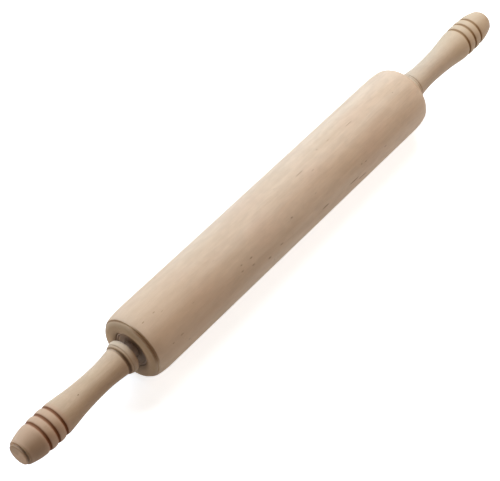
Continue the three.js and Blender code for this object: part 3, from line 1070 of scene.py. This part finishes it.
def make_ball(side, number, place, material):
    """A ball of nearly even faces: a divided cube, spread by angle and pushed out to a sphere."""
    mesh = bmesh.new()
    bmesh.ops.create_cube(mesh, size=1)
    bmesh.ops.subdivide_edges(mesh, edges=mesh.edges, cuts=BALL_CUTS, use_grid_fill=True)
    for vert in mesh.verts:
        spread = Vector([math.tan(c * math.pi / 2) / 2 for c in vert.co])
        vert.co = place + spread.normalized() * BALL_RADIUS
    return finish_mesh(f"bearing_ball_{side}_{number}_steel", mesh, material)


def make_cage(side, material):
    """A crown cage: a ring outside the row of balls, with a pocket cut for each ball."""
    face = -CAGE_FACE_INSET
    prong_tip = -BALL_ROW_INSET - CAGE_PRONG_REACH
    inner = BALL_PITCH_RADIUS - CAGE_HALF_THICKNESS
    outer = BALL_PITCH_RADIUS + CAGE_HALF_THICKNESS
    outline = [(face, inner), (face, outer), (prong_tip, outer), (prong_tip, inner)]
    cage = turned(f"ball_cage_{side}_steel", outline, material)
    pockets = bmesh.new()
    for place in ball_places():
        made = bmesh.ops.create_icosphere(pockets, subdivisions=POCKET_FINENESS, radius=POCKET_RADIUS)
        bmesh.ops.translate(pockets, verts=made["verts"], vec=place)
    cutter = finish_mesh("pocket_cutter", pockets, material)
    cut = cage.modifiers.new("pockets", "BOOLEAN")
    cut.operation = "DIFFERENCE"
    cut.solver = "EXACT"
    cut.object = cutter
    bpy.context.view_layer.update()
    evaluated = cage.evaluated_get(bpy.context.evaluated_depsgraph_get())
    shaped = bpy.data.meshes.new_from_object(evaluated)
    cage.modifiers.clear()
    mesh = bmesh.new()
    mesh.from_mesh(shaped)
    bmesh.ops.triangulate(mesh, faces=mesh.faces)
    bmesh.ops.dissolve_degenerate(mesh, dist=WELD_DISTANCE, edges=mesh.edges)
    mesh.to_mesh(shaped)
    mesh.free()
    cage.data = shaped
    bpy.data.objects.remove(cutter)
    return cage


def without_doubles(spots):
    """A closed outline without the spots that lie on the one before them."""
    kept = []
    for spot in spots:
        if not kept or math.dist(spot, kept[-1]) > SAME_POINT:
            kept.append(spot)
    if math.dist(kept[0], kept[-1]) < SAME_POINT:
        kept.pop()
    return kept


def make_retaining_ring(side, material):
    """An open spring ring with a round lug at each side of its mouth."""
    outer = RING_INNER_RADIUS + RING_WIDTH
    lug_pitch = outer - RING_LUG_RADIUS
    start = 90 + RING_MOUTH_DEGREES / 2
    end = 360 + 90 - RING_MOUTH_DEGREES / 2
    first_lug, last_lug = arc(0, 0, lug_pitch, lug_pitch, (end, start), steps=1)
    inner = RING_INNER_RADIUS
    lug = RING_LUG_RADIUS
    outline = [
        *arc(0, 0, outer, outer, (start, end), RING_STEPS),
        *arc(*first_lug, lug, lug, (end, end + 180), LUG_STEPS),
        *arc(0, 0, inner, inner, (end, start), RING_STEPS),
        *arc(*last_lug, lug, lug, (start - 180, start), LUG_STEPS),
    ]
    spots = without_doubles(outline)
    mesh = bmesh.new()
    rear = [mesh.verts.new((-RING_INSET - RING_THICKNESS, x, y)) for x, y in spots]
    front = [mesh.verts.new((-RING_INSET, x, y)) for x, y in spots]
    for i in range(len(spots)):
        mesh.faces.new((rear[i - 1], rear[i], front[i], front[i - 1]))
    ends = [mesh.faces.new(rear), mesh.faces.new(front)]
    mesh.normal_update()
    bmesh.ops.triangulate(mesh, faces=ends)
    return finish_mesh(f"retaining_ring_{side}_steel", mesh, material)


def seen_rays(nodes):
    """1 where a camera, glossy or transmission ray looks, and 0 for the rays that light things."""
    path = nodes.add("ShaderNodeLightPath").outputs
    return nodes.most([path["Is Camera Ray"], path["Is Glossy Ray"], path["Is Transmission Ray"]])


def make_floor(height):
    """A wide pale floor that keeps the pin's shadow and looks white away from it."""
    material, nodes, shader, coordinates = new_material("pale_floor")
    away = nodes.vector("LENGTH", coordinates["Object"], output="Value")
    lift = nodes.ramp(away, FLOOR_NEAR, FLOOR_FAR, FLOOR_LIFT, 1.0)
    nodes.fill(shader, {
        "Base Color": FLOOR_COLOUR,
        "Roughness": FLOOR_ROUGHNESS,
        "Specular IOR Level": FLOOR_SPECULAR,
        "Emission Color": WHITE,
        "Emission Strength": nodes.times(seen_rays(nodes), lift),
    })
    mesh = bmesh.new()
    corners = [(-1, -1), (1, -1), (1, 1), (-1, 1)]
    mesh.faces.new([mesh.verts.new((FLOOR_HALF * x, FLOOR_HALF * y, height)) for x, y in corners])
    floor = finish_mesh("floor", mesh, material)


def make_sky():
    """White where it is seen, and a faint even light otherwise."""
    world = bpy.data.worlds.new("soft_white_room")
    world.use_nodes = True
    world.node_tree.nodes.clear()
    nodes = Nodes(world.node_tree)
    strength = nodes.ramp(seen_rays(nodes), 0, 1, SKY_STRENGTH, 1.0)
    background = nodes.add("ShaderNodeBackground", {"Color": WHITE, "Strength": strength})
    output = nodes.add("ShaderNodeOutputWorld")
    nodes.feed(output.inputs["Surface"], background.outputs[0])
    bpy.context.scene.world = world


def aimed(piece, place, aim):
    """Puts a lamp or camera at a place, turned to look at the aim."""
    piece.location = place
    piece.rotation_euler = (Vector(aim) - Vector(place)).to_track_quat("-Z", "Y").to_euler()


def make_lamp(name, place, size, power, colour):
    """A large square soft lamp that looks at the middle of the pin."""
    lamp = bpy.data.lights.new(name, "AREA")
    lamp.size = size
    lamp.energy = power
    lamp.color = colour
    piece = bpy.data.objects.new(name, lamp)
    aimed(piece, place, (0, 0, AXIS_HEIGHT))
    piece.visible_camera = False
    bpy.context.scene.collection.objects.link(piece)


def make_camera():
    """The photograph's camera."""
    back = Vector((
        math.sin(CAMERA_AZIMUTH) * math.cos(CAMERA_ELEVATION),
        -math.cos(CAMERA_AZIMUTH) * math.cos(CAMERA_ELEVATION),
        math.sin(CAMERA_ELEVATION),
    ))
    camera = bpy.data.cameras.new("camera")
    camera.lens = CAMERA_LENS
    camera.sensor_width = CAMERA_SENSOR
    piece = bpy.data.objects.new("camera", camera)
    aimed(piece, CAMERA_TARGET + back * CAMERA_DISTANCE, CAMERA_TARGET)
    bpy.context.scene.collection.objects.link(piece)
    bpy.context.scene.camera = piece


# Each band below has: middle, half width, fade, colour, amount, heavy side in degrees, faintest
def roller_bands():
    """Left end of the roller: warm wood, and painted shade on the cap, round the recess and in the
    crease.
    """
    crease = CAP_DEPTH - ROLLER_HALF
    half = CAP_DEPTH * 0.6
    throat = CAP_CREST_RADIUS * 0.96
    # the colour of the painted shade in the crease, round the recess and under the cap
    painted_shade = CREASE_SHADE_BROWN
    return [
        band(crease, WARM_END_HALF, WARM_END_FADE, WARM_BEECH, 0.4),
        # painted shade over the cap face, heaviest at its top
        band(crease - half, half, CAP_DEPTH * 0.2, CAP_SHADE_TAN, 0.72, -25, 0.5),
        # painted shade round the recess, heaviest on the front lower side
        band(-ROLLER_HALF, CUP_MOUTH_INSET, CAP_DEPTH, painted_shade, 0.75, 70, 0.3, within=throat),
        # painted shade under the cap
        band(crease - CAP_DEPTH, half, CAP_DEPTH * 0.4, painted_shade, 0.3, 115, 0.0),
        # painted shade in the crease: a thin line on the upper back and a wide one on the front
        band(crease, QUIRK_WIDTH * 0.4, QUIRK_WIDTH * 0.8, painted_shade, 0.6, -55, 0.0, side_start=0.7),
        band(crease, QUIRK_WIDTH, QUIRK_WIDTH * 1.3, painted_shade, 0.95, 42, 0.0, side_start=0.7),
    ]


def handle_bands(look):
    """Warm wood, burned rings, a tip rim and score line, and painted shade and highlight."""
    front = look.front
    wear = look.wear
    middle = HANDLE_REACH / 2
    warm_start = BURN_PLACES[0] - BURN_SPACING * 0.3
    warm_half = (HANDLE_REACH - warm_start) / 2
    # where the painted shade on the front of the end lies
    shaded_end = HANDLE_REACH - SHADED_END_INSET
    tip = HANDLE_REACH - TIP_THICKNESS * 0.5
    cove = GRIP_END + TIP_COVE_WIDTH * 0.4
    cove_half = TIP_COVE_WIDTH / 2
    score = HANDLE_FACE + BEAD_LENGTH
    bead = (HANDLE_FACE + score) / 2
    groove_half = COLLAR_GROOVE_WIDTH * 0.5
    groove = COLLAR_GROOVE_START + groove_half
    burn_half = BURN_WIDTH / 2
    core = burn_half * 0.85
    core_fade = burn_half * 0.35
    bands = [
        # painted shade on the grip's front lower side
        band(middle, middle, HANDLE_SHADE_FADE, HANDLE_SHADE_BROWN, look.front_shade, 98 * front, 0.0),
        band(warm_start + warm_half, warm_half, look.warm_fade, look.warm, look.warmth),
        # painted shade on the front of the end
        band(shaded_end, SHADED_END_HALF, SHADED_END_FADE, SHADE_AND_LINE_BROWN, 0.4 * wear, 62 * front, 0.0),
        band(tip, TIP_THICKNESS * 0.4, TIP_THICKNESS * 0.3, SHADE_AND_LINE_BROWN, 0.6 * wear, -40 * front, 0.1),
        # painted shade in the cove behind the tip, heaviest on the front
        band(cove, cove_half, cove_half * 3.2, SHADE_AND_LINE_BROWN, 0.62 * wear, 70 * front, 0.1),
        # a paler bead with a painted highlight on its upper back side
        band(bead, BEAD_LENGTH / 2, BEAD_FADE, BEAD_PALE_AND_HIGHLIGHT, 0.5 * wear, -30 * front, 0.2),
        band(score, SCORE_HALF, SCORE_FADE, SHADE_AND_LINE_BROWN, 0.5 * wear, -50 * front, 0.2),
        # painted shade in the collar groove, heaviest on the front
        band(groove, groove_half, COLLAR_GROOVE_WIDTH, GROOVE_SHADE_BROWN, 0.95 * wear, 62 * front, 0.3),
    ]
    for place in BURN_PLACES:
        bands += [
            band(place, burn_half, burn_half, look.scorch, 0.6),
            band(place, core, core_fade, look.burn, 0.94, 100 * front, look.faintest_burn),
        ]
    return bands


def mark_places(marks, half_width, front, radius_at):
    """The mark effect's inputs for each mark, in the piece's own axes."""
    places = []
    for along, degrees, length in marks:
        angle = math.radians(degrees)
        radius = radius_at(along)
        middle = (along, -front * radius * math.sin(angle), radius * math.cos(angle))
        places.append({"Middle": middle, "Half Length": length / 2, "Half Width": half_width})
    return places


def barrel_radius(along):
    """The roller's radius at a place along it, which drops over the shoulders."""
    shoulder_start = ROLLER_HALF - CAP_DEPTH - QUIRK_WIDTH / 2 - SHOULDER_LENGTH
    share = max(0.0, (abs(along) - shoulder_start) / SHOULDER_LENGTH)
    return ROLLER_RADIUS - SHOULDER_DROP * (1 - math.sqrt(1 - share ** 2))


def roller_material():
    """The roller's beech, with all its scratches, flecks and cracks."""
    marks = [
        *mark_places(ROLLER_SCRATCHES, SCRATCH_HALF_WIDTH, 1, barrel_radius),
        *mark_places(ROLLER_FLECKS, FLECK_HALF_WIDTH, 1, barrel_radius),
        *mark_places(ROLLER_CRACKS, CRACK_HALF_WIDTH, 1, barrel_radius),
    ]
    return beech_material(
        "roller_beech", ROLLER_BOARD, ROLLER_TINT, ROLLER_END_TINT, ROLLER_DASH_SHARE,
        roller_bands(), marks,
    )


def handle_material(side):
    """One handle's beech, aged in its own way."""
    look = HANDLE_LOOKS[side]
    marks = mark_places(look.flecks, FLECK_HALF_WIDTH, look.front, grip_plain_radius)
    return beech_material(
        f"handle_beech_{side}", look.board, look.tint, HANDLE_END_TINT, HANDLE_DASH_SHARE,
        handle_bands(look), marks,
    )


metals = {name: metal_material(name, *settings) for name, settings in METALS.items()}
roller_beech = roller_material()
handle_beech = {side: handle_material(side) for side in ("left", "right")}

settle(make_roller(roller_beech), "roller", "roller")
settle(make_rod(metals["rod_steel"]), "axle", "axle_rod")
for end in ("left", "right"):
    settle(make_cup(end, metals["cup_steel"]), "roller", f"bearing_cup_{end}", end)
    settle(make_cone(end, metals["bearing_steel"]), "axle", f"bearing_cone_{end}", end)
    settle(make_cage(end, metals["pressed_steel"]), f"cage_{end}", f"ball_cage_{end}", end)
    for number, spot in enumerate(ball_places(), 1):
        ball = make_ball(end, number, spot, metals["ball_steel"])
        settle(ball, f"cage_{end}", f"bearing_ball_{end}_{number}", end)
    settle(make_shield(end, metals["pressed_steel"]), "axle", f"dust_shield_{end}", end)
    settle(make_washer(end, metals["bearing_steel"]), "axle", f"thrust_washer_{end}", end)
    ring = make_retaining_ring(end, metals["spring_steel"])
    settle(ring, "axle", f"retaining_ring_{end}", end)
    settle(make_insert(end, metals["brass"]), "axle", f"handle_insert_{end}", end)
    settle(make_handle(end, handle_beech[end]), "axle", f"handle_{end}", end)

make_floor(AXIS_HEIGHT - ROLLER_RADIUS - FLOOR_GAP)
make_sky()
for lamp_settings in LAMPS:
    make_lamp(*lamp_settings)
make_camera()
bpy.context.scene.view_settings.view_transform = "Standard"
